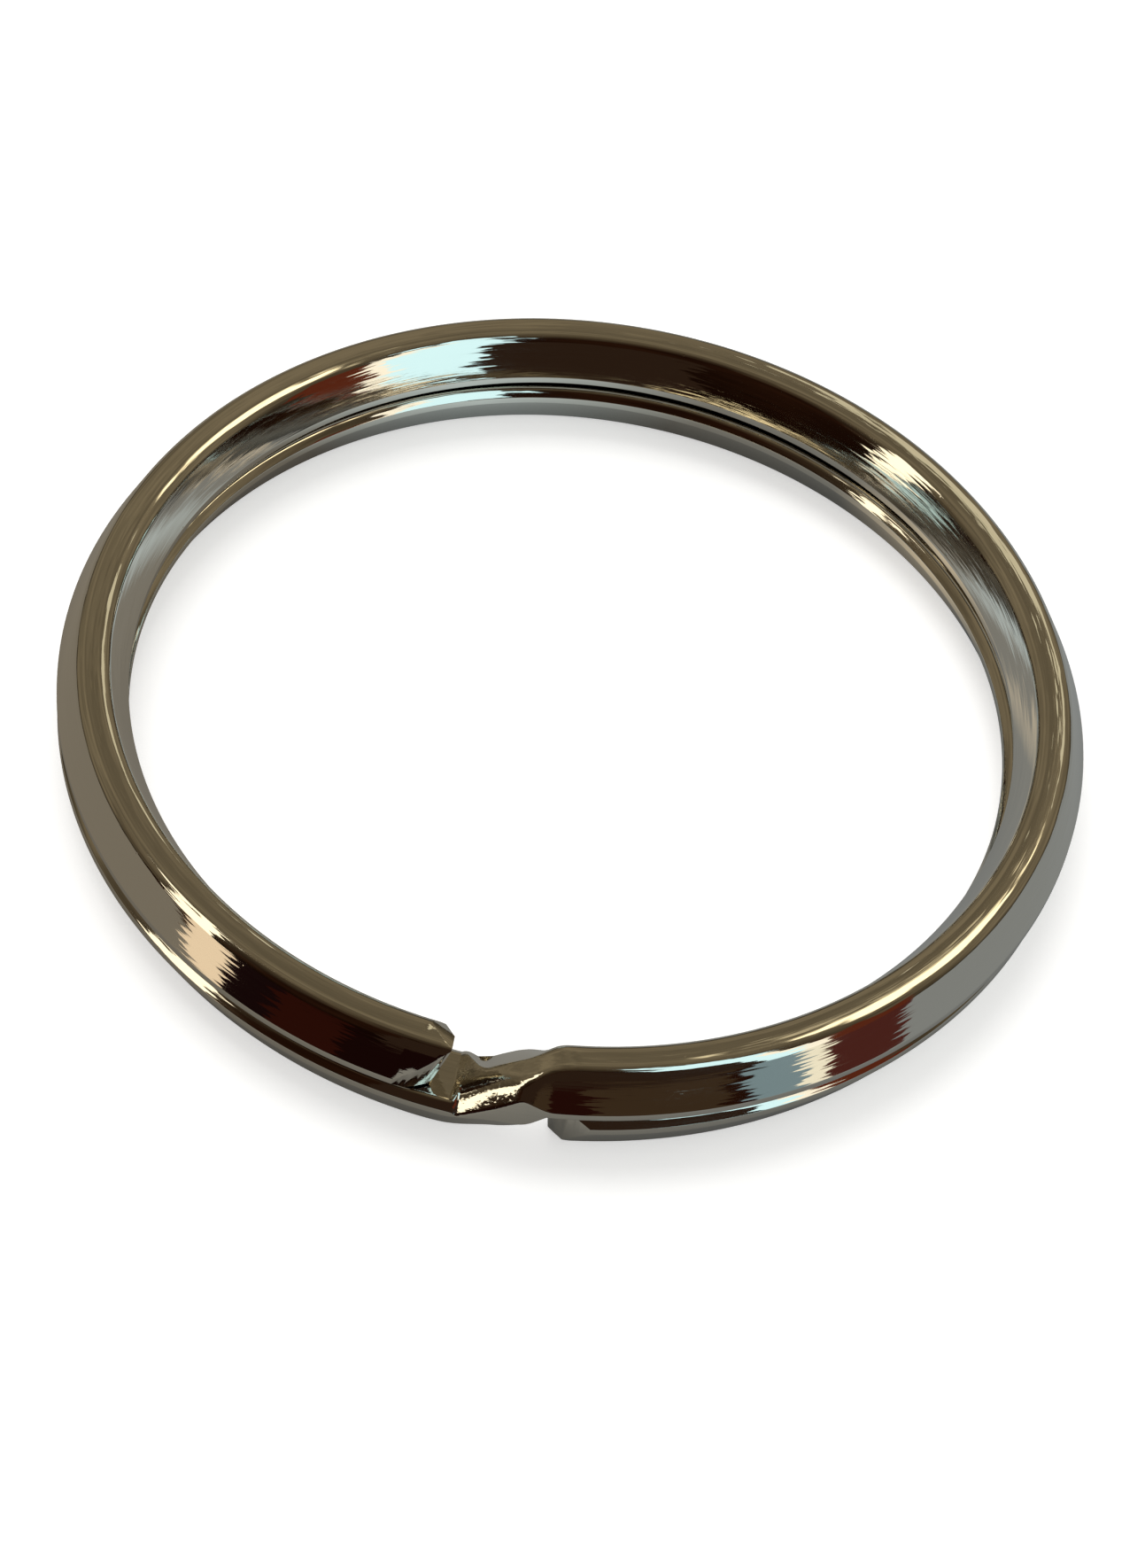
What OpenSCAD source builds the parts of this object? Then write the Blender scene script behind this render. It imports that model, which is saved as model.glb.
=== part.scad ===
// Split key ring: one steel wire wound twice round, one turn on the other.
//
// The wire lies flat in two turns and steps up from the lower one to the
// upper one in a short crossover.  Each end of the wire stops just past the
// crossover, and a key is threaded in under an end and slid round.
//
// Frame: Z is the axis of the upper turn, the underside rests on Z = 0, and
// the middle of the crossover points along -Y.  The wire climbs as it runs
// anticlockwise, seen from above.

/* [Ring] */
// Outer diameter of the ring
ring_d = 35; // [26:0.5:60]
// Height of one turn of wire
turn_h = 1.95; // [1.7:0.05:2.6]
// Gap between the two turns
turn_gap = 0.1; // [0.05:0.01:0.3]
// How much smaller the radius of the lower turn is
tuck = 0.12; // [0:0.01:0.2]

/* [Wire section] */
// Width of the wire, measured along a radius
wire_w = 2.4; // [1.8:0.05:3.2]
// Width of the crown between its two bevels, before the shoulders are rounded
crown_w = 1; // [0.8:0.05:1.4]
// Radius of the crown's shoulders
shoulder_r = 0.5; // [0.2:0.05:0.55]
// Height of the upright wall between the bevel and the lying face
wall_h = 0.38; // [0.2:0.01:0.45]
// Chamfer along the edges of the lying face
edge_c = 0.12; // [0.1:0.01:0.2]
// Radius that softens the inner corner of that chamfer
edge_r = 0.3; // [0.1:0.05:0.3]

/* [Crossover] */
// Angle that the wire takes to climb, seen from above
climb = 13.5; // [10:0.5:18]
// Angle from the middle of the crossover to the crease where the climb starts
crease = 5; // [4:0.5:6]
// How much the outer wall grows upwards, and its bevel shrinks, beside the climb
wall_rise = 0.63; // [0.3:0.01:0.7]
// How much the wall shrinks at its lower edge there
wall_trim = 0.3; // [0:0.05:0.35]
// Width of the fall along the inner edge of the climb
fall_w = 0.9; // [0.2:0.05:1]
// Depth of that fall
fall_h = 0.8; // [0.1:0.05:0.9]
// Slant of the crossover, seen from above, per millimetre of width
slant = 0.5; // [0:0.1:0.8]

/* [Wire ends] */
// Angle from the middle of the crossover to the face of the upper end
upper_end = 6.5; // [6:0.1:9]
// Angle from the middle of the crossover to the face of the lower end
lower_end = 6.2; // [6:0.1:9]
// Length of the slanted corner on the outer side of an end
nose_len = 1.7; // [0.8:0.1:2.5]
// Depth of that slanted corner
nose_w = 0.7; // [0.3:0.05:0.8]
// How far the inner corner of an end is cut back
inner_cut = 0.9; // [0.3:0.05:1.1]
// Radius that softens the corners of an end, seen from above
end_r = 0.3; // [0.1:0.05:0.4]
// Lean of the upper end's face, towards the crown's side
upper_rake = 16; // [0:1:20]
// Lean of the lower end's face, towards the crown's side
lower_rake = 0; // [-5:1:5]
// Slope across one corner of an end, on the crown's side: the inner corner of
// the upper end and the outer one of the lower end
corner_slope = 45; // [30:1:60]
// Direction of that slope, seen from above
corner_turn = 47; // [30:1:60]
// Where that slope starts on an end's face, out from the wire's middle
corner_x = 0.5; // [0:0.05:0.6]

/* [Hidden] */
// Segments of a whole turn, of a rounded corner and of the crossover
turn_segments = 90;
corner_segments = 4;
climb_steps = 20;
level_steps = 13;
// Half the angle of the crossover's piece, a quarter of the ring with a level
// stretch at each end, so that both its ends lie on an axis
span = 45;
// How far a turn is drawn past its end before the end is cut
end_spare = 2;
// How far past the climb the crossover is drawn finely
fine_spare = 1.5;
// The wall's growth fades out between these two angles past the middle
rise_full = 0.4;
rise_none = 6;
// The fall along the inner edge sets in within this angle of the crease, and
// fades out between these two angles past the middle
fall_start = 3.5;
fall_full = 2;
fall_none = 10;
// How far past the metal a cutter reaches
past = 1;

outer_r = ring_d / 2;
mean_r = outer_r - wire_w / 2;
step_up = turn_h + turn_gap;
ring_h = turn_h + step_up;
fine = max(crease, climb - crease) + fine_spare;
bevel_w = (wire_w - crown_w) / 2;
bevel_h = turn_h - wall_h - edge_c;

function clamp01(t) = min(1, max(0, t));
function unit(v) = v / norm(v);
// 1 at t = 0 or less, 0 at t = 1 or more, and level at both
function fade(t) = (1 + cos(180 * clamp01(t))) / 2;

// Points of the arc of radius r that rounds corner b of the path a, b, c
function rounded(a, b, c, r) =
    let (
        to_a = unit(a - b),
        to_c = unit(c - b),
        half = acos(to_a * to_c) / 2,
        centre = b + unit(to_a + to_c) * r / sin(half),
        start = b + to_a * r / tan(half) - centre,
        side = sign(to_a.x * to_c.y - to_a.y * to_c.x),
        turn = side * (180 - 2 * half)
    )
    [for (i = [0:corner_segments])
        let (t = -turn * i / corner_segments)
        centre + [start.x * cos(t) - start.y * sin(t),
                  start.x * sin(t) + start.y * cos(t)]];

// Height of the wire's top, at an angle a past the middle of the crossover.
// The climb starts at the crease and levels out in a quarter of a sine wave.
function top_z(a) = ring_h - step_up * (1 - sin(90 * clamp01((a + crease) / climb)));

// One quarter of the wire's outline, from wall to top, x measured outwards
// from the wire's middle: the wall's upper end, then the rounded edge.
function quarter(a, top, fall, grow) =
    let (
        dip = fall * fade((-crease - a) / fall_start + 1) * fade((a - fall_full) / (fall_none - fall_full)),
        drop = edge_c + dip * fall_h,
        inset = edge_c + dip * fall_w,
        rise = grow * fade((a - rise_full) / (rise_none - rise_full)),
        wall_z = min(top - drop, ring_h - bevel_h + rise),
        edge_x = wire_w / 2 - max(inset, (top - wall_z) * bevel_w / bevel_h),
        mix = clamp01((top - wall_z - drop) / (bevel_h - drop)),
        r = edge_r + (shoulder_r - edge_r) * mix
    )
    concat([[wire_w / 2, wall_z]],
        rounded([wire_w / 2, wall_z], [edge_x, top], [0, top], r));

function reversed(v) = [for (i = [len(v) - 1:-1:0]) v[i]];
function left(v) = [for (p = v) [-p.x, p.y]];
function upside_down(v) = [for (p = v) [p.x, ring_h - p.y]];

// The whole outline of the wire at an angle a past the crossover's middle
function outline(a) =
    let (
        outer_top = quarter(a, top_z(a), 0, wall_rise),
        inner_top = left(quarter(a, top_z(a), 1, 0)),
        outer_under = upside_down(quarter(-a, top_z(-a), 0, -wall_trim)),
        inner_under = upside_down(left(quarter(-a, top_z(-a), 1, -wall_trim)))
    )
    concat(outer_top, reversed(inner_top), inner_under, reversed(outer_under));

// The outline set up in the crossover, whose quarter of the ring runs from
// the -Y axis to the +X axis
function section(a) =
    [for (p = outline(a))
        let (t = a - span + slant * p.x * fade(abs(a) / fine))
        [(mean_r + p.x) * cos(t), (mean_r + p.x) * sin(t), p.y]];

// A solid through rings of points, closed at both ends
module loft(rings) {
    n = len(rings[0]);
    m = len(rings);
    sides = [for (j = [0:m - 2], i = [0:n - 1], half = [0, 1])
        let (k = (i + 1) % n, p = j * n, q = p + n)
        half == 0 ? [p + i, p + k, q + k] : [p + i, q + k, q + i]];
    polyhedron(
        points = [for (ring = rings, p = ring) p],
        faces = concat(
            [[for (i = [n - 1:-1:0]) i]],
            sides,
            [[for (i = [0:n - 1]) (m - 1) * n + i]]),
        convexity = 4);
}

// What is cut off a turn at its end: all that lies past the end's face, with
// the outer corner slanted and both corners rounded.  X points outwards from
// the wire's middle, and the wire comes from -Y.
module end_cutter(rake, side) {
    edge = wire_w / 2 + past;
    slant_start = [edge, -nose_len - past * nose_len / nose_w];
    slant_end = [wire_w / 2 - nose_w, 0];
    inner_corner = [-wire_w / 2 + inner_cut, 0];
    inner_start = [-edge, -inner_cut - past];
    rotate([-rake, 0, 0])
        linear_extrude(turn_h + 4 * past, center = true)
            polygon(concat(
                [slant_start],
                rounded(slant_start, slant_end, inner_corner, end_r),
                rounded(slant_end, inner_corner, inner_start, end_r),
                [inner_start, [-edge, edge], [edge, edge]]));
    translate([side * corner_x, 0, turn_h / 2])
        rotate([-corner_slope, 0, side * corner_turn])
            translate([-2 * wire_w, -wire_w, 0]) cube([4 * wire_w, 3 * wire_w, turn_h]);
}

// A flat turn on the level of the upper one.  It starts on the +X axis and
// runs anticlockwise to its end, which lies over the crossover's foot.
module turn(radius, end_angle, rake, side) {
    difference() {
        rotate_extrude(angle = 360 - span - end_angle + end_spare, $fn = turn_segments)
            polygon([for (p = outline(span)) [radius + p.x, p.y]]);
        rotate([0, 0, -span - end_angle])
            translate([radius, 0, step_up + turn_h / 2]) end_cutter(rake, side);
    }
}

// The wire's climb from the lower turn to the upper one.  It is drawn finely
// where the wire climbs and coarsely along the level stretches.
module crossover() {
    angles = concat(
        [for (i = [-level_steps:-1]) -fine + i * (span - fine) / level_steps],
        [for (i = [-climb_steps:climb_steps]) i * fine / climb_steps],
        [for (i = [1:level_steps]) fine + i * (span - fine) / level_steps]);
    loft([for (a = angles) section(a)]);
}

// The lower turn is the upper one turned over, wound a little tighter and
// moved so that it meets the foot of the crossover.
module split_ring() {
    color("silver") rotate([0, 0, span - 90]) {
        turn(mean_r, upper_end, upper_rake, 1);
        crossover();
        translate([0, 0, ring_h]) rotate([180, 0, -90])
            translate([tuck, 0, 0]) turn(mean_r - tuck, lower_end, lower_rake, -1);
    }
}

split_ring();
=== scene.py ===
"""Split key ring of nickel-plated spring wire, on a bench under soft light.

The wire lies in two flat turns joined by a short crossover.  It is built as
three stretches, each swept by spin from one outline, with the crossover's
points then moved onto its climb.  The free ends are cut by bisect and their
edges bevelled.  Lengths are in metres and angles in degrees.
"""

import math

import bpy
import numpy as np
from bpy.props import FloatProperty, FloatVectorProperty, IntProperty, PointerProperty
from mathutils import Matrix, Vector


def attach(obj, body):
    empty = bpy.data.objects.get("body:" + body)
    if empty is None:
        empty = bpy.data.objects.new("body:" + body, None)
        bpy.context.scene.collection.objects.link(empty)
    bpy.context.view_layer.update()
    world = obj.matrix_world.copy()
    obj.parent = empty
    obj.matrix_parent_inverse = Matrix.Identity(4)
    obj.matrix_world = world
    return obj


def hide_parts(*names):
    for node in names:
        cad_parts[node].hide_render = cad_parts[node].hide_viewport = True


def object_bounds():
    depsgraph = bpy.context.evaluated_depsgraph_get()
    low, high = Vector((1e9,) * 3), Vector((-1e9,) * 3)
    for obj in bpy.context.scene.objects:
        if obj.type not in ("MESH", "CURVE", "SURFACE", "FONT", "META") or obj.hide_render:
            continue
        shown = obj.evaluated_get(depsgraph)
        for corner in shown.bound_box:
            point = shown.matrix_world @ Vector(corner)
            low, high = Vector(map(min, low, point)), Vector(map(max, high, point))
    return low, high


bl_info = {
    "name": "Split Key Ring",
    "version": (1, 0, 0),
    "blender": (4, 5, 0),
    "location": "View3D > Sidebar > Key Ring",
    "description": "A split key ring of plated wire, with its bench and lights",
    "category": "Object",
}

MM = 0.001

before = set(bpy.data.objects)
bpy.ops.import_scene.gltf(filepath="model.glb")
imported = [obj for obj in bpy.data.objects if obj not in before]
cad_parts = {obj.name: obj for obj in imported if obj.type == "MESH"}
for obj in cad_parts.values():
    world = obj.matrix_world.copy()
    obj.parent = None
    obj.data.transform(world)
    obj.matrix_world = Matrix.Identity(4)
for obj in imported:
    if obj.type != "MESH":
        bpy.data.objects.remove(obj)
CAD_LOW, CAD_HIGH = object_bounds()


def linear(hex_colour):
    """An sRGB hex colour as linear values."""
    parts = [int(hex_colour[i:i + 2], 16) / 255 for i in (1, 3, 5)]
    return [p / 12.92 if p <= 0.04045 else ((p + 0.055) / 1.055) ** 2.4 for p in parts]


# ---------------------------------------------------------------- sizes

class RingSizes(bpy.types.PropertyGroup):
    """The wire's section and the ring it is wound into"""

    ring_radius: FloatProperty(
        name="Ring Radius", description="Outer radius of the ring",
        default=CAD_HIGH.x, unit="LENGTH")
    turn_height: FloatProperty(
        name="Turn Height", description="Height of one turn of wire",
        default=1.95 * MM, unit="LENGTH")
    turn_gap: FloatProperty(
        name="Turn Gap", description="Gap between the two turns",
        default=0.1 * MM, unit="LENGTH")
    tuck: FloatProperty(
        name="Tuck", description="How much smaller the radius of the lower turn is",
        default=0.12 * MM, unit="LENGTH")
    wire_width: FloatProperty(
        name="Wire Width", description="Width of the wire along a radius",
        default=2.4 * MM, unit="LENGTH")
    crown_width: FloatProperty(
        name="Crown Width", description="Width of the crown before its shoulders are rounded",
        default=1.0 * MM, unit="LENGTH")
    shoulder_radius: FloatProperty(
        name="Shoulder Radius", description="Radius of the crown's shoulders",
        default=0.5 * MM, unit="LENGTH")
    wall_height: FloatProperty(
        name="Wall Height", description="Height of the upright wall",
        default=0.26 * MM, unit="LENGTH")
    edge_chamfer: FloatProperty(
        name="Edge Chamfer", description="Chamfer along the face between the turns",
        default=0.24 * MM, unit="LENGTH")
    edge_radius: FloatProperty(
        name="Edge Radius", description="Radius that softens the inner corner of that chamfer",
        default=0.3 * MM, unit="LENGTH")
    wall_radius: FloatProperty(
        name="Wall Edge Radius", description="Radius the drawing die leaves on the wall's edges",
        default=0.07 * MM, unit="LENGTH")


class CrossoverSizes(bpy.types.PropertyGroup):
    """The pressed step that joins the two turns"""

    climb: FloatProperty(
        name="Climb", description="Angle over which the wire climbs, in degrees", default=13.5)
    crease: FloatProperty(
        name="Crease", description="Angle from the middle to the crease, in degrees",
        default=5.0)
    wall_rise: FloatProperty(
        name="Wall Rise", description="How much the wall grows upwards beside the climb",
        default=0.63 * MM, unit="LENGTH")
    wall_trim: FloatProperty(
        name="Wall Trim", description="How much the wall shrinks at its lower edge",
        default=0.3 * MM, unit="LENGTH")
    fall_width: FloatProperty(
        name="Fall Width", description="Width of the fall along the inner edge",
        default=0.9 * MM, unit="LENGTH")
    fall_depth: FloatProperty(
        name="Fall Depth", description="Depth of that fall",
        default=0.8 * MM, unit="LENGTH")
    brow_width: FloatProperty(
        name="Brow Width", description="Extra width of the rounding along the climb's outer edge",
        default=0.45 * MM, unit="LENGTH")
    brow_depth: FloatProperty(
        name="Brow Depth", description="Extra depth of that rounding",
        default=0.3 * MM, unit="LENGTH")
    slant: FloatProperty(
        name="Slant",
        description="Turn of the crossover's lines per millimetre of width, in degrees",
        default=0.5)


class EndSizes(bpy.types.PropertyGroup):
    """The cuts that shape the wire's two ends"""

    upper_end: FloatProperty(
        name="Upper End", description="Angle from the middle to the upper end, in degrees",
        default=6.5)
    lower_end: FloatProperty(
        name="Lower End", description="Angle from the middle to the lower end, in degrees",
        default=6.2)
    upper_rake: FloatProperty(
        name="Upper Rake", description="Lean of the upper end's face, in degrees", default=16.0)
    lower_rake: FloatProperty(
        name="Lower Rake", description="Lean of the lower end's face, in degrees", default=0.0)
    nose_length: FloatProperty(
        name="Nose Length", description="Length of the slanted outer corner",
        default=1.7 * MM, unit="LENGTH")
    upper_nose: FloatProperty(
        name="Upper Nose", description="Depth of the upper end's slanted outer corner",
        default=0.7 * MM, unit="LENGTH")
    lower_nose: FloatProperty(
        name="Lower Nose", description="Depth of the lower end's slanted outer corner",
        default=1.0 * MM, unit="LENGTH")
    inner_cut: FloatProperty(
        name="Inner Cut", description="How far the inner corner is cut back",
        default=0.9 * MM, unit="LENGTH")
    upper_corner: FloatProperty(
        name="Upper Corner", description="Where the corner's slope starts on the upper end's face",
        default=0.25 * MM, unit="LENGTH")
    lower_corner: FloatProperty(
        name="Lower Corner", description="Where the corner's slope starts on the lower end's face",
        default=0.5 * MM, unit="LENGTH")
    corner_slope: FloatProperty(
        name="Corner Slope", description="Steepness of that slope, in degrees", default=34.0)
    corner_turn: FloatProperty(
        name="Corner Turn", description="Direction of that slope, seen from above, in degrees",
        default=47.0)
    edge_round: FloatProperty(
        name="Edge Rounding", description="Rounding that plating leaves on the cut edges",
        default=0.07 * MM, unit="LENGTH")


class Fineness(bpy.types.PropertyGroup):
    """How finely the wire is divided"""

    turn_steps: IntProperty(
        name="Turn Steps", description="Steps along a whole turn", default=300)
    climb_steps: IntProperty(
        name="Climb Steps", description="Steps along the crossover's climb", default=80)
    level_steps: IntProperty(
        name="Level Steps", description="Steps along each level part of the crossover", default=26)
    shoulder_steps: IntProperty(
        name="Shoulder Steps", description="Steps round a shoulder of the section", default=8)


class Finish(bpy.types.PropertyGroup):
    """The plate's colour and polish"""

    nickel: FloatVectorProperty(
        name="Nickel", description="Colour of the bright nickel plate",
        subtype="COLOR", size=3, default=linear("#CFCBC2"))
    smooth: FloatProperty(
        name="Smoothest", description="Roughness between the drawing lines", default=0.03)
    rough: FloatProperty(
        name="Roughest", description="Roughness in the drawing lines", default=0.09)
    line_depth: FloatProperty(
        name="Line Depth", description="Depth of the drawing lines",
        default=0.004 * MM, unit="LENGTH")


SPAN = 45.0          # half the angle of the crossover's stretch
END_SPARE = 2.0      # how far a turn is swept past its end before it is cut
FINE_SPARE = 1.5     # how far past the climb the crossover is divided finely
RISE_FULL, RISE_NONE = 0.4, 6.0     # the wall's growth fades out between these
FALL_START = 3.5                    # the fall sets in within this of the crease
FALL_FULL, FALL_NONE = 2.0, 10.0    # and fades out between these
BROW_START = 0.8                    # the brow sets in within this of the crease
BROW_FULL, BROW_NONE = -1.0, 6.0    # and fades out between these

BROW_SOFTENS = 0.8 * MM    # what the brow adds to the radius of the edge
BLEND = 0.2 * MM           # faces of the section ease into each other over this
WALL_STEPS = 3             # steps round an edge of the wall
NOSE_CUTS = (0.4, 0.5, 0.6, 0.7, 0.8, 0.9, 1.0)    # along the nose, 1 at its tip
SHARP = 15.0               # the cuts' edges are rounded where they are sharper
SMOOTH = 35.0              # and all edges are shaded smooth up to this
CUT_SLACK = 0.0001 * MM    # the cuts leave corners this near a plane alone
WELD = 0.002 * MM          # corners this close become one
FAR = 0.6                  # radius of the tent round the ring, in metres


# ---------------------------------------------------------------- the section

def ring():
    return bpy.context.scene.ring_sizes


def ring_height():
    r = ring()
    return 2 * r.turn_height + r.turn_gap


def step_up():
    """The climb from one turn to the next."""
    return ring().turn_height + ring().turn_gap


def mean_radius():
    return ring().ring_radius - ring().wire_width / 2


def clamp01(t):
    return min(1.0, max(0.0, t))


def fade(t):
    """1 at t = 0 or less, 0 at t = 1 or more, and level at both."""
    return (1 + math.cos(math.pi * clamp01(t))) / 2


def smooth_min(a, b, blend):
    """The smaller of two lengths, eased where they are within blend of each other."""
    h = clamp01(0.5 + 0.5 * (b - a) / blend)
    return b + (a - b) * h - blend * h * (1 - h)


def top_z(a):
    """Height of the wire's top at an angle a past the crossover's middle."""
    c = bpy.context.scene.crossover_sizes
    climbed = clamp01((a + c.crease) / c.climb)
    return ring_height() - step_up() * (1 - math.sin(math.pi / 2 * climbed))


def rounded(a, b, c, radius, steps):
    """Points of the arc that rounds corner b of the path a, b, c."""
    a, b, c = (Vector(p) for p in (a, b, c))
    to_a, to_c = (a - b).normalized(), (c - b).normalized()
    half = to_a.angle(to_c) / 2
    centre = b + (to_a + to_c).normalized() * radius / math.sin(half)
    start = b + to_a * radius / math.tan(half) - centre
    side = math.copysign(1.0, to_a.x * to_c.y - to_a.y * to_c.x)
    turn = -side * (math.pi - 2 * half)
    return [centre + Matrix.Rotation(turn * i / steps, 2) @ start for i in range(steps + 1)]


def quarter(a, top, fall, grow, brow=0):
    """One quarter of the outline, from wall to top, x outwards from the middle.

    Fall and brow are 1 or 0, and grow is how far the wall's edge moves up."""
    r, c = ring(), bpy.context.scene.crossover_sizes
    steps = bpy.context.scene.fineness.shoulder_steps
    bevel_width = (r.wire_width - r.crown_width) / 2
    bevel_height = r.turn_height - r.wall_height - r.edge_chamfer
    dip = fall * fade((-c.crease - a) / FALL_START + 1)
    dip *= fade((a - FALL_FULL) / (FALL_NONE - FALL_FULL))
    brow *= fade((-c.crease - a) / BROW_START + 1)
    brow *= fade((a - BROW_FULL) / (BROW_NONE - BROW_FULL))
    drop = r.edge_chamfer + dip * c.fall_depth + brow * c.brow_depth
    inset = r.edge_chamfer + dip * c.fall_width + brow * c.brow_width
    rise = grow * fade((a - RISE_FULL) / (RISE_NONE - RISE_FULL))
    wall_z = smooth_min(top - drop, ring_height() - bevel_height + rise, BLEND)
    edge_x = r.wire_width / 2 + smooth_min(
        -inset, (wall_z - top) * bevel_width / bevel_height, BLEND)
    mix = clamp01((top - wall_z - drop) / (bevel_height - drop))
    radius = r.edge_radius + (r.shoulder_radius - r.edge_radius) * mix
    radius += brow * (1 - mix) * BROW_SOFTENS
    wall = Vector((r.wire_width / 2, wall_z))
    below = wall - Vector((0, r.wire_width))
    edge = (edge_x, top)
    wall_radius = r.wall_radius * (1 + 2 * brow)    # three times as wide under the brow
    return (rounded(below, wall, edge, wall_radius, WALL_STEPS)
            + rounded(wall, edge, (0, top), radius, steps))


def outline(a):
    """The wire's whole outline at an angle a, anticlockwise from the outer wall."""
    c = bpy.context.scene.crossover_sizes

    def left(points):
        return [Vector((-p.x, p.y)) for p in points]

    def upside_down(points):
        return [Vector((p.x, ring_height() - p.y)) for p in points]

    outer_top = quarter(a, top_z(a), 0, c.wall_rise, brow=1)
    inner_top = left(quarter(a, top_z(a), 1, 0))
    outer_under = upside_down(quarter(-a, top_z(-a), 0, -c.wall_trim))
    inner_under = upside_down(left(quarter(-a, top_z(-a), 1, -c.wall_trim)))
    return outer_top + inner_top[::-1] + inner_under + outer_under[::-1]


# ---------------------------------------------------------------- modelling

def edit(obj):
    """Makes obj alone selected and active, in edit mode."""
    bpy.ops.object.select_all(action="DESELECT")
    obj.select_set(True)
    bpy.context.view_layer.objects.active = obj
    bpy.ops.object.mode_set(mode="EDIT")


def add_section(name, points, angle):
    """A closed loop of edges: the outline, standing at an angle round the ring."""
    bpy.ops.object.select_all(action="DESELECT")
    bpy.ops.mesh.primitive_circle_add(vertices=len(points), radius=mean_radius())
    obj = bpy.context.object
    obj.name = obj.data.name = name
    out = Vector((math.cos(angle), math.sin(angle), 0))
    for vertex, p in zip(obj.data.vertices, points):
        vertex.co = out * p.x + Vector((0, 0, p.y))
    return obj


def sweep(obj, angle, steps, first=True):
    """Spins a section anticlockwise about the ring's axis.

    Every spin leaves its last section selected, so the next carries on."""
    edit(obj)
    if first:
        bpy.ops.mesh.select_all(action="SELECT")
    bpy.ops.mesh.spin(
        steps=steps, angle=angle, center=(0, 0, 0), axis=(0, 0, -1), dupli=False)
    bpy.ops.object.mode_set(mode="OBJECT")


def cut_end(obj, near, reach, co, no):
    """Cuts off what lies past a plane, of the faces within reach of a point."""
    edit(obj)
    bpy.ops.mesh.select_all(action="DESELECT")
    bpy.ops.object.mode_set(mode="OBJECT")
    for face in obj.data.polygons:
        face.select = (face.center - near).length < reach
    bpy.ops.object.mode_set(mode="EDIT")
    bpy.ops.mesh.bisect(plane_co=co, plane_no=no, use_fill=True, clear_outer=True,
                        threshold=CUT_SLACK)
    bpy.ops.object.mode_set(mode="OBJECT")


def turn_of_wire(name, radius, end_angle, rake, nose, corner):
    """One flat turn on the upper level, from the crossover round to its end.

    A corner with a minus slopes to the other side, for the lower turn."""
    e, fine = bpy.context.scene.end_sizes, bpy.context.scene.fineness
    head = math.radians(SPAN - 90)
    sweep_angle = math.radians(360 - SPAN - end_angle + END_SPARE)
    points = [Vector((radius + p.x, p.y)) for p in outline(SPAN)]
    obj = add_section(name, points, head)
    sweep(obj, sweep_angle, round(fine.turn_steps * sweep_angle / math.tau))

    # The end's own axes: outwards, along the wire past its end, and up.
    end = math.radians(-90 - end_angle)
    out = Vector((math.cos(end), math.sin(end), 0))
    on = Vector((-out.y, out.x, 0))
    up = Vector((0, 0, 1))
    middle = out * radius + up * (step_up() + ring().turn_height / 2)
    lean = math.radians(rake)
    half = ring().wire_width / 2

    def plane(x, y, z, right, forward, rise):
        at = middle + out * x + on * y + up * z
        return at, (out * right + on * forward + up * rise).normalized()

    slope, turned = math.radians(e.corner_slope), math.radians(e.corner_turn)
    turned = math.copysign(turned, corner)
    c, s = math.cos(lean), math.sin(lean)
    cuts = [
        plane(0, 0, 0, 0, c, -s),
        plane(-half + e.inner_cut, 0, 0, -1, c, -s),
        plane(corner, 0, ring().turn_height / 2,
              -math.sin(turned) * math.sin(slope), math.cos(turned) * math.sin(slope),
              math.cos(slope)),
    ]
    # The outer corner is a curve that steepens towards the end, cut as tangents.
    for t in NOSE_CUTS:
        tangent = math.atan(2 * t * nose / e.nose_length)
        back = (1 - t) * e.nose_length
        cuts.append(plane(half - nose * t ** 2, -back * c, back * s, math.cos(tangent),
                          math.sin(tangent) * c, -math.sin(tangent) * s))
    for co, no in cuts:
        cut_end(obj, middle, 2 * ring().wire_width, co, no)
    round_end(obj, middle, 2 * ring().wire_width)
    return obj


def round_end(obj, near, reach):
    """Bevels the sharp edges that the cuts have left."""
    e = bpy.context.scene.end_sizes
    edit(obj)
    bpy.ops.mesh.select_mode(type="EDGE")
    bpy.ops.mesh.select_all(action="DESELECT")
    bpy.ops.object.mode_set(mode="OBJECT")
    # A swept face has four corners, and the face of a cut has more.
    big = {f.index for f in obj.data.polygons if len(f.vertices) > 4}
    of_edge = {}
    for f in obj.data.polygons:
        for key in f.edge_keys:
            of_edge.setdefault(key, []).append(f)
    for edge in obj.data.edges:
        faces = of_edge.get(edge.key, [])
        ends = [obj.data.vertices[i].co for i in edge.vertices]
        mid = (ends[0] + ends[1]) / 2
        edge.select = (
            len(faces) == 2 and (mid - near).length < reach
            and (faces[0].index in big or faces[1].index in big)
            and faces[0].normal.angle(faces[1].normal, 0) > math.radians(SHARP))
    bpy.ops.object.mode_set(mode="EDIT")
    bpy.ops.mesh.bevel(offset=e.edge_round, segments=3, affect="EDGES", clamp_overlap=True)
    bpy.ops.object.mode_set(mode="OBJECT")


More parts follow.
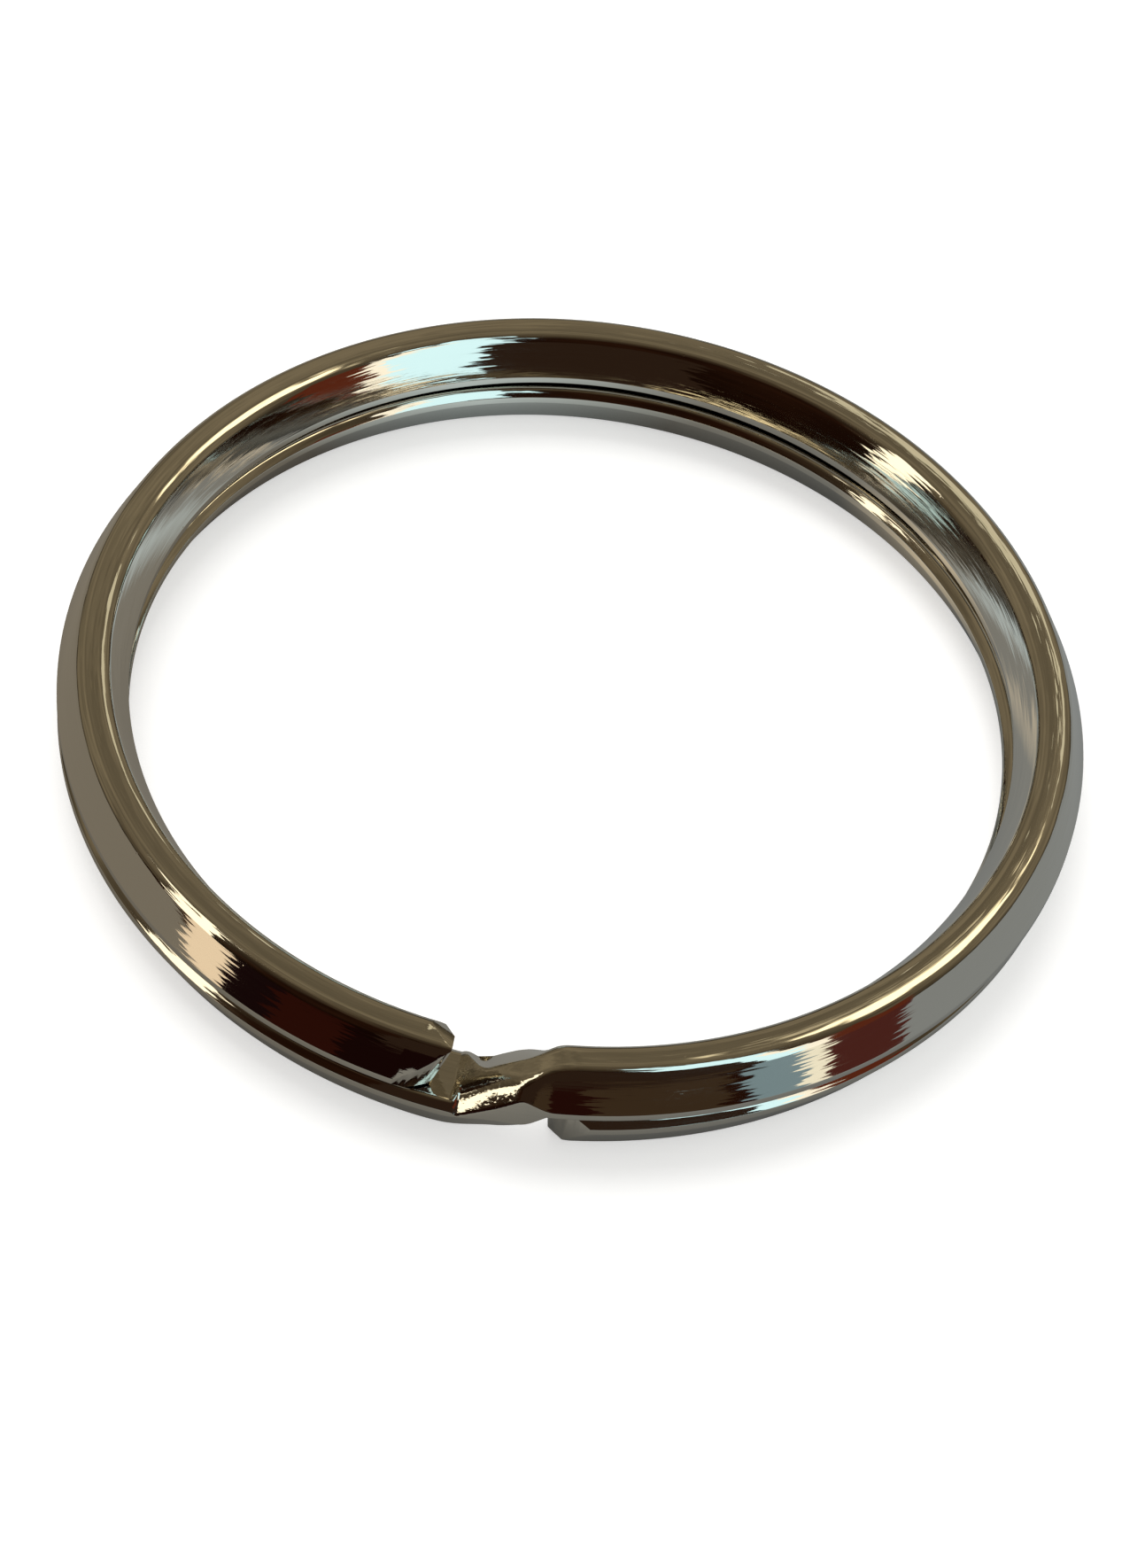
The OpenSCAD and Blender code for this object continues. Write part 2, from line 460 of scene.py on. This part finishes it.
def crossover():
    """The climb from the lower turn to the upper one, a quarter of the ring."""
    fine, c = bpy.context.scene.fineness, bpy.context.scene.crossover_sizes
    reach = max(c.crease, c.climb - c.crease) + FINE_SPARE
    foot = outline(-SPAN)
    at = [Vector((mean_radius() + p.x, p.y)) for p in foot]
    obj = add_section("crossover", at, math.radians(-90 - SPAN))
    angles = [-SPAN]
    for start, stop, steps in ((-SPAN, -reach, fine.level_steps),
                               (-reach, reach, fine.climb_steps),
                               (reach, SPAN, fine.level_steps)):
        sweep(obj, math.radians(stop - start), steps, first=start == -SPAN)
        angles += [start + (stop - start) * (i + 1) / steps for i in range(steps)]
    # Each point keeps its place in the outline, and takes it up at its own angle.
    sections = {round(a, 4): outline(a) for a in angles}
    known = np.array(sorted(sections))
    flat = np.array([tuple(p) for p in foot])
    for vertex in obj.data.vertices:
        co = vertex.co
        a = math.degrees(math.atan2(co.y, co.x)) + 90
        a = known[np.abs(known - a).argmin()]
        r = math.hypot(co.x, co.y) - mean_radius()
        i = int(((flat - (r, co.z)) ** 2).sum(1).argmin())
        p = sections[a][i]
        t = math.radians(a - 90 + c.slant * p.x / MM * fade(abs(a) / reach))
        r = mean_radius() + p.x
        vertex.co = (r * math.cos(t), r * math.sin(t), p.y)
    return obj


def finish_mesh(obj):
    """Closes the seams, turns the faces outwards and smooths the shading."""
    edit(obj)
    bpy.ops.mesh.select_all(action="SELECT")
    bpy.ops.mesh.remove_doubles(threshold=WELD)
    bpy.ops.mesh.normals_make_consistent(inside=False)
    bpy.ops.object.mode_set(mode="OBJECT")
    bpy.ops.object.shade_smooth_by_angle(angle=math.radians(SMOOTH))


# ---------------------------------------------------------------- materials

def new_material(name):
    material = bpy.data.materials.new(name)
    material.use_nodes = True
    material.node_tree.nodes.clear()
    return material


def node(tree, kind, links=(), **settings):
    """Adds a node, sets its properties or sockets, and links sockets into it."""
    n = tree.nodes.new("ShaderNode" + kind)
    for key, value in settings.items():
        if hasattr(n, key):
            setattr(n, key, value)
        else:
            n.inputs[key.replace("_", " ")].default_value = value
    for socket, source in links:
        tree.links.new(source, n.inputs[socket])
    return n


def nickel_plate():
    """Bright nickel plate on drawn spring wire: a warm grey mirror, streaked
    along the wire by the drawing die and dotted with small pits."""
    finish = bpy.context.scene.finish
    material = new_material("bright nickel plate")
    tree = material.node_tree
    place = node(tree, "TexCoord").outputs["Object"]
    xyz = node(tree, "SeparateXYZ", [("Vector", place)])
    x, y, z = (xyz.outputs[k] for k in "XYZ")
    # Round the ring: the seam of this angle lies in the crossover.
    angle = node(tree, "Math", [(0, x), (1, y)], operation="ARCTAN2").outputs[0]
    squares = node(tree, "Math", [(0, x), (1, x)], operation="MULTIPLY").outputs[0]
    squares = node(tree, "Math", [(0, y), (1, y), (2, squares)],
                   operation="MULTIPLY_ADD").outputs[0]
    radius = node(tree, "Math", [(0, squares)], operation="SQRT").outputs[0]
    along = node(tree, "CombineXYZ", [("X", angle), ("Y", radius), ("Z", z)]).outputs[0]

    # Noise drawn out along the wire: cycles per radian round the ring, width
    # across it in mm, and detail.
    noise = {}
    for name, per_radian, width, detail in (
            ("lines", 6.0, 0.1, 3.0),       # left by the die, about 3 mm long
            ("waves", 2.0, 0.8, 2.0),       # of the surface, about 8 mm long
            ("patches", 3.0, 1.5, 1.0),     # stretches with deep or faint lines
            ("streaks", 9.0, 0.09, 2.0)):    # they fray what the wire mirrors
        place_of = node(tree, "Mapping", [("Vector", along)], vector_type="POINT",
                        Scale=(per_radian, 1 / (width * MM), 1 / (width * MM)))
        noise[name] = node(tree, "TexNoise", [("Vector", place_of.outputs[0])],
                           Scale=1.0, Detail=detail).outputs["Fac"]
    # Pits and specks, 0.1 mm wide and 1.2 mm apart.
    spots = node(tree, "TexVoronoi", [("Vector", place)], Scale=1 / (1.2 * MM))
    pit = node(tree, "MapRange", [("Value", spots.outputs["Distance"])],
               interpolation_type="SMOOTHSTEP", From_Min=0.0, From_Max=0.05,
               To_Min=0.0, To_Max=1.0)

    bump = node(tree, "Bump", [("Height", noise["waves"])], Strength=1.0, Distance=0.01 * MM)
    depth = node(tree, "MapRange", [("Value", noise["patches"])],
                 From_Min=0.4, From_Max=0.65, To_Min=0.25, To_Max=1.0)
    bump = node(tree, "Bump", [("Height", noise["lines"]), ("Normal", bump.outputs[0]),
                               ("Strength", depth.outputs[0])], Distance=finish.line_depth)
    bump = node(tree, "Bump", [("Height", pit.outputs[0]), ("Normal", bump.outputs[0])],
                Strength=1.0, Distance=0.004 * MM)
    rough = node(tree, "MapRange", [("Value", noise["lines"])],
                 From_Min=0.3, From_Max=0.7, To_Min=finish.smooth, To_Max=finish.rough)
    # Each streak tips the surface a little along the wire.
    tip = node(tree, "MapRange", [("Value", noise["streaks"])], clamp=False,
               From_Min=0.5, From_Max=1.0, To_Min=0.0, To_Max=0.1)
    flip = node(tree, "Math", [(0, y)], operation="MULTIPLY")
    flip.inputs[1].default_value = -1.0
    tangent = node(tree, "CombineXYZ", [("X", flip.outputs[0]), ("Y", x)])
    tangent = node(tree, "VectorMath", [("Vector", tangent.outputs[0])], operation="NORMALIZE")
    # Socket 3 of a vector's Scale is the factor.
    tipped = node(tree, "VectorMath", [(0, tangent.outputs[0]), (3, tip.outputs[0])],
                  operation="SCALE")
    normal = node(tree, "VectorMath", [(0, bump.outputs[0]), (1, tipped.outputs[0])],
                  operation="ADD")
    normal = node(tree, "VectorMath", [(0, normal.outputs[0])], operation="NORMALIZE")
    shade = node(tree, "BsdfPrincipled",
                 [("Roughness", rough.outputs[0]), ("Normal", normal.outputs[0])],
                 Base_Color=(*finish.nickel, 1), Metallic=1.0)
    node(tree, "OutputMaterial", [("Surface", shade.outputs[0])])
    return material


# ---------------------------------------------------------------- stage

def glow(name, colour, strength=1.0):
    """A material that shines evenly in one colour."""
    material = new_material(name)
    tree = material.node_tree
    light = node(tree, "Emission", Color=(*linear(colour), 1), Strength=strength)
    node(tree, "OutputMaterial", [("Surface", light.outputs[0])])
    return material


def soft_glow(name, colour, strength):
    """A light that fades out from the middle of its card to the rim."""
    material = new_material(name)
    tree = material.node_tree
    place = node(tree, "TexCoord").outputs["UV"]
    middle = node(tree, "Mapping", [("Vector", place)], vector_type="TEXTURE",
                  Location=(0.5, 0.5, 0), Scale=(0.5, 0.5, 1))
    cone = node(tree, "TexGradient", [("Vector", middle.outputs[0])], gradient_type="SPHERICAL")
    level = node(tree, "MapRange", [("Value", cone.outputs["Fac"])],
                 interpolation_type="SMOOTHSTEP", From_Max=0.4, To_Max=strength)
    light = node(tree, "Emission", [("Strength", level.outputs[0])], Color=(*linear(colour), 1))
    clear = node(tree, "BsdfTransparent")
    both = node(tree, "AddShader", [(0, light.outputs[0]), (1, clear.outputs[0])])
    node(tree, "OutputMaterial", [("Surface", both.outputs[0])])
    return material


def as_card(obj, name, material):
    """Makes obj a studio card, which shows in the metal's reflections only."""
    obj.name = obj.data.name = name
    obj.data.materials.clear()
    obj.data.materials.append(material)
    for ray in ("camera", "diffuse", "transmission", "volume_scatter", "shadow"):
        setattr(obj, "visible_" + ray, False)


def towards(azimuth, elevation):
    """The direction at these angles from the ring: azimuth 0 is +X, 90 is +Y."""
    a, e = math.radians(azimuth), math.radians(elevation)
    return Vector((math.cos(a) * math.cos(e), math.sin(a) * math.cos(e), math.sin(e)))


def panel(name, azimuths, elevations, material, lean=0, distance=0.4):
    """A curved card round the ring, between two azimuths and two elevations.

    Its top is lean degrees further round than its foot."""
    bpy.ops.object.select_all(action="DESELECT")
    bpy.ops.mesh.primitive_grid_add(x_subdivisions=12, y_subdivisions=12, size=2)
    obj = bpy.context.object
    for vertex in obj.data.vertices:
        u, v = (vertex.co.x + 1) / 2, (vertex.co.y + 1) / 2
        vertex.co = distance * towards(
            azimuths[0] + (azimuths[1] - azimuths[0]) * u + lean * v,
            elevations[0] + (elevations[1] - elevations[0]) * v)
    as_card(obj, name, material)


def flat_card(name, corners, height, material):
    """A card lying on the bench, with these corners in turn."""
    bpy.ops.object.select_all(action="DESELECT")
    bpy.ops.mesh.primitive_circle_add(vertices=len(corners), fill_type="NGON")
    obj = bpy.context.object
    for vertex, corner in zip(obj.data.vertices, corners):
        vertex.co = (*corner, height)
    as_card(obj, name, material)


def sector(name, azimuths, material):
    """A flat card between two lines of sight mirrored by the ring's front bevel.

    The bevel mirrors an azimuth at about 0.595 of it, less 36 degrees, round
    the ring, where its middle is 17.2 mm from the axis."""
    corners = []
    for azimuth in azimuths:
        start = towards(0.595 * azimuth - 36, 0) * 17.2 * MM
        line = towards(azimuth, 0)
        corners.append([(start + line * far).xy for far in (1 * MM, FAR)])
    (a, b), (c, d) = corners
    flat_card(name, [a, b, d, c], -0.008 * MM, material)


class KEYRING_OT_wire(bpy.types.Operator):
    """Build the ring's wire: two turns, the crossover and both ends"""

    bl_idname = "keyring.wire"
    bl_label = "Wire"

    def execute(self, context):
        r, e = ring(), context.scene.end_sizes
        upper = turn_of_wire("upper turn", mean_radius(), e.upper_end, e.upper_rake,
                             e.upper_nose, e.upper_corner)
        lower = turn_of_wire("lower turn", mean_radius() - r.tuck, e.lower_end, e.lower_rake,
                             e.lower_nose, -e.lower_corner)
        # The lower turn is made on the upper level and turned over about the
        # radius through the crossover's middle, then moved to meet its foot.
        shift = towards(-90 - SPAN, 0) * r.tuck
        over = Matrix.Rotation(math.pi, 4, Vector((0, 1, 0)))
        lower.data.transform(Matrix.Translation(shift + Vector((0, 0, ring_height()))) @ over)
        climb = crossover()
        bpy.ops.object.select_all(action="DESELECT")
        for obj in (upper, lower, climb):
            obj.select_set(True)
        context.view_layer.objects.active = upper
        bpy.ops.object.join()
        wire = context.object
        wire.name = wire.data.name = "ring_wire"
        finish_mesh(wire)
        wire.data.materials.clear()
        wire.data.materials.append(nickel_plate())
        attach(wire, "root")
        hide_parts("split_ring")
        return {"FINISHED"}


class KEYRING_OT_stage(bpy.types.Operator):
    """Set up the floor, the lights, the cards and the camera"""

    bl_idname = "keyring.stage"
    bl_label = "Stage"

    def execute(self, context):
        make_floor()
        make_world()
        make_light()
        make_cards()
        make_camera()
        context.scene.view_settings.view_transform = "Standard"
        return {"FINISHED"}


def looked_at(tree):
    """1 for a look from the camera, in a mirror or through clear matter, else 0."""
    ray = node(tree, "LightPath").outputs
    seen = node(tree, "Math", [(0, ray["Is Camera Ray"]), (1, ray["Is Glossy Ray"])],
                operation="MAXIMUM")
    seen = node(tree, "Math", [(0, seen.outputs[0]), (1, ray["Is Transmission Ray"])],
                operation="MAXIMUM")
    return seen.outputs[0]


def make_floor():
    bpy.ops.object.select_all(action="DESELECT")
    bpy.ops.mesh.primitive_plane_add(size=4.0)
    floor = bpy.context.object
    floor.name = "floor"
    floor.data.transform(Matrix.Translation((0, 0, -0.01 * MM)))
    material = new_material("pale paper")
    tree = material.node_tree
    paper = node(tree, "BsdfDiffuse", Color=(*linear("#F2F1EE"), 1))
    # White to the camera, and to what mirrors or lets through, but the
    # ring's shadow stays, because the paper's own light is only topped up.
    lift = node(tree, "Math", [(0, looked_at(tree))], operation="MULTIPLY")
    lift.inputs[1].default_value = 0.5
    top_up = node(tree, "Emission", [("Strength", lift.outputs[0])], Color=(1, 1, 1, 1))
    both = node(tree, "AddShader", [(0, paper.outputs[0]), (1, top_up.outputs[0])])
    node(tree, "OutputMaterial", [("Surface", both.outputs[0])])
    floor.data.materials.append(material)


def make_world():
    world = bpy.data.worlds.new("studio")
    bpy.context.scene.world = world
    world.use_nodes = True
    tree = world.node_tree
    tree.nodes.clear()
    strength = node(tree, "MapRange", [("Value", looked_at(tree))], To_Min=0.5, To_Max=1.0)
    back = node(tree, "Background", [("Strength", strength.outputs[0])], Color=(1, 1, 1, 1))
    node(tree, "OutputWorld", [("Surface", back.outputs[0])])


def make_light():
    """A soft box high behind the ring, 1 m away, kept out of its reflections."""
    to = towards(120, 65)
    data = bpy.data.lights.new("soft box", "AREA")
    data.shape, data.size, data.energy = "DISK", 0.8, 4.0
    light = bpy.data.objects.new("soft box", data)
    bpy.context.scene.collection.objects.link(light)
    light.location = to
    light.rotation_euler = (-to).to_track_quat("-Z", "Y").to_euler()
    light.visible_glossy = False


def room_walls():
    """The tent's lining: olive, and nearly black towards the camera's side."""
    material = new_material("tent lining")
    tree = material.node_tree
    place = node(tree, "TexCoord").outputs["Object"]
    unit = node(tree, "VectorMath", [("Vector", place)], operation="NORMALIZE").outputs[0]
    xyz = node(tree, "SeparateXYZ", [("Vector", unit)])
    away = node(tree, "MapRange", [("Value", xyz.outputs["Y"])], From_Min=-1.0, From_Max=1.0)
    ramp = node(tree, "ValToRGB", [("Fac", away.outputs[0])])
    stops = ramp.color_ramp.elements
    stops[0].position, stops[0].color = 0.2, (*linear("#28150B"), 1)
    stops[1].position, stops[1].color = 0.6, (*linear("#7E725B"), 1)
    middle = stops.new(0.35)
    middle.color = (*linear("#4F4332"), 1)
    # It is darker towards its foot, and uneven.
    foot = node(tree, "MapRange", [("Value", xyz.outputs["Z"])],
                From_Min=0.02, From_Max=0.22, To_Min=0.3, To_Max=1.0)
    folds = node(tree, "TexNoise", [("Vector", unit)], Scale=4.0, Detail=3.0).outputs["Fac"]
    folds = node(tree, "MapRange", [("Value", folds)],
                 From_Min=0.35, From_Max=0.65, To_Min=0.75, To_Max=1.3)
    level = node(tree, "Math", [(0, foot.outputs[0]), (1, folds.outputs[0])],
                 operation="MULTIPLY")
    light = node(tree, "Emission", [("Color", ramp.outputs[0]), ("Strength", level.outputs[0])])
    node(tree, "OutputMaterial", [("Surface", light.outputs[0])])
    return material


def mat():
    """A grey mat, warmer on the left, with the glints that the ring throws on it."""
    material = new_material("grey mat")
    tree = material.node_tree
    place = node(tree, "TexCoord").outputs["Object"]
    x = node(tree, "SeparateXYZ", [("Vector", place)]).outputs["X"]
    across = node(tree, "MapRange", [("Value", x)], From_Min=-0.02, From_Max=0.02)
    # A mix of colours takes them in sockets 6 and 7 and gives its result in 2.
    colour = node(tree, "Mix", [(0, across.outputs[0])], data_type="RGBA")
    colour.inputs[6].default_value = (*linear("#8F8779"), 1)
    colour.inputs[7].default_value = (*linear("#9A9E9E"), 1)
    result = colour.outputs[2]
    # The glints: middle and radius in mm, and colour.
    for where, size, tint in (((-4.5, 12.6), 6.5, "#E8F8FC"), ((9.5, 9.5), 4.0, "#FFEFD2")):
        spot = node(tree, "Mapping", [("Vector", place)], vector_type="TEXTURE",
                    Location=(where[0] * MM, where[1] * MM, 0), Scale=(size * MM,) * 3)
        near = node(tree, "TexGradient", [("Vector", spot.outputs[0])], gradient_type="SPHERICAL")
        glint = node(tree, "Mix", [(0, near.outputs["Fac"]), (6, result)], data_type="RGBA")
        glint.inputs[7].default_value = (*linear(tint), 1)
        result = glint.outputs[2]
    # The mat darkens close to the wire, as a contact shadow would.
    near = node(tree, "AmbientOcclusion", Distance=4 * MM)
    light = node(tree, "Emission", [("Color", result), ("Strength", near.outputs["AO"])])
    node(tree, "OutputMaterial", [("Surface", light.outputs[0])])
    return material


def hang_cloth():
    """Dark cloth close in front: it hides the window from the front shoulder only."""
    bpy.ops.object.select_all(action="DESELECT")
    bpy.ops.mesh.primitive_plane_add(size=1)
    cloth = bpy.context.object
    cloth.data.transform(Matrix.Translation((7 * MM, -30 * MM, 12.6 * MM))
                         @ Matrix.Rotation(math.pi / 2, 4, "X")
                         @ Matrix.Diagonal((34 * MM, 18.8 * MM, 1, 1)))
    as_card(cloth, "hung cloth", glow("hung cloth", "#33241A"))


def make_cards():
    """The room that the ring mirrors: a tent, a mat, and panels and strips in it."""
    bpy.ops.object.select_all(action="DESELECT")
    bpy.ops.mesh.primitive_uv_sphere_add(segments=48, ring_count=24, radius=FAR)
    as_card(bpy.context.object, "tent", room_walls())
    # The mat's front edge, from right to left in mm.
    edge = [(600, -130), (21, -14.5), (17, -19), (8, -22.5), (-8, -23.5), (-19, -18.6),
            (-600, -150)]
    flat_card("mat", [(-FAR, FAR), (FAR, FAR)] + [(x * MM, y * MM) for x, y in edge],
              -0.004 * MM, mat())
    # What the table in front of the mat mirrors, as sectors seen from the ring.
    for name, azimuths, colour, strength in (
            ("shelf below", (-170, -156.5), "#3A2110", 1.0),
            ("lit curtain below", (-156.5, -145.5), "#FFE6C4", 1.25),
            ("dark chair", (-145.5, -135), "#1B0C0C", 1.0),
            ("brown chair", (-135, -120.5), "#32120B", 1.0),
            ("dark gap", (-120.5, -88), "#1B0907", 1.0),
            ("brown coat", (-88, -74), "#2A100B", 1.0),
            ("olive coat", (-74, -50), "#453525", 1.0),
            ("window post", (-50, -46.2), "#2A140A", 1.0),
            ("window below", (-46.2, -35.6), "#8EA6AF", 1.0),
            ("curtain below", (-35.6, -30.6), "#FFF8E0", 1.35),
            ("red cloth below", (-30.6, -8), "#592C26", 1.0)):
        sector(name, azimuths, glow(name, colour, strength))
    window = glow("window light", "#D2F6FF", 1.7)
    panel("window", (-60, -36), (-1, 55), window)
    panel("window top", (-50, -22), (55, 70), window)
    panel("window edge", (-36, -30), (-1, 55), glow("curtain", "#FFF7E3", 1.6))
    panel("red cloth", (-30, -14), (-1, 32), glow("dark red cloth", "#69301D"))
    lit = glow("lit curtain", "#FFF3D6", 2.2)
    panel("left strip", (-159, -149), (-1, 32), lit, lean=-3)
    panel("left strip top", (-166, -153), (32, 54), lit, lean=-8)
    panel("left glint", (177, 190), (47, 60), lit)
    panel("left shelf", (-166, -157.5), (-1, 7), glow("dark shelf", "#241409"), distance=0.39)
    hang_cloth()
    panel("lamp", (-8, 84), (47, 68), soft_glow("lamp", "#FFEFC4", 2.4))
    panel("lamp shade", (60, 86), (35, 45), glow("shade", "#EDE2C0"))


def make_camera():
    """A close view, 135 mm away and 50 degrees above the bench."""
    turned, elevation, roll = (math.radians(a) for a in (1.5, 50.04, -8.70))
    aside, below, away = 0.38923 * MM, 4.02984 * MM, 135.52461 * MM
    back = Vector((0, -math.cos(elevation), math.sin(elevation)))
    right = Vector((1, 0, 0))
    up = back.cross(right)
    place = aside * right - below * up + away * back + Vector((0, 0, ring_height()))
    across = math.cos(roll) * right - math.sin(roll) * up
    upward = math.sin(roll) * right + math.cos(roll) * up
    facing = Matrix((across, upward, back)).transposed().to_4x4()
    data = bpy.data.cameras.new("camera")
    data.sensor_width = 36.0
    # The frame is 1770 pixels high, and the lens 4534.8 of them long.
    data.lens = 4534.8 * data.sensor_width / 1770
    data.clip_start = 1 * MM
    camera = bpy.data.objects.new("camera", data)
    bpy.context.scene.collection.objects.link(camera)
    camera.matrix_world = Matrix.Rotation(turned, 4, "Z") @ Matrix.Translation(place) @ facing
    bpy.context.scene.camera = camera


class KEYRING_PT_panel(bpy.types.Panel):
    """Lists the ring's pieces and sizes"""

    bl_label = "Key Ring"
    bl_idname = "KEYRING_PT_panel"
    bl_space_type = "VIEW_3D"
    bl_region_type = "UI"
    bl_category = "Key Ring"

    def draw(self, context):
        for group in GROUPS:
            box = self.layout.box()
            values = getattr(context.scene, group)
            for name in values.bl_rna.properties.keys():
                if name not in ("rna_type", "name"):
                    box.prop(values, name)
        for operator in (KEYRING_OT_wire, KEYRING_OT_stage):
            self.layout.operator(operator.bl_idname)


CLASSES = (RingSizes, CrossoverSizes, EndSizes, Fineness, Finish,
           KEYRING_OT_wire, KEYRING_OT_stage, KEYRING_PT_panel)
GROUPS = {"ring_sizes": RingSizes, "crossover_sizes": CrossoverSizes, "end_sizes": EndSizes,
          "fineness": Fineness, "finish": Finish}


def register():
    for cls in CLASSES:
        bpy.utils.register_class(cls)
    for name, cls in GROUPS.items():
        setattr(bpy.types.Scene, name, PointerProperty(type=cls))


def unregister():
    for name in GROUPS:
        delattr(bpy.types.Scene, name)
    for cls in reversed(CLASSES):
        bpy.utils.unregister_class(cls)


def main():
    register()
    bpy.ops.object.select_all(action="DESELECT")
    bpy.ops.keyring.wire()
    bpy.ops.keyring.stage()


if __name__ == "__main__":
    main()
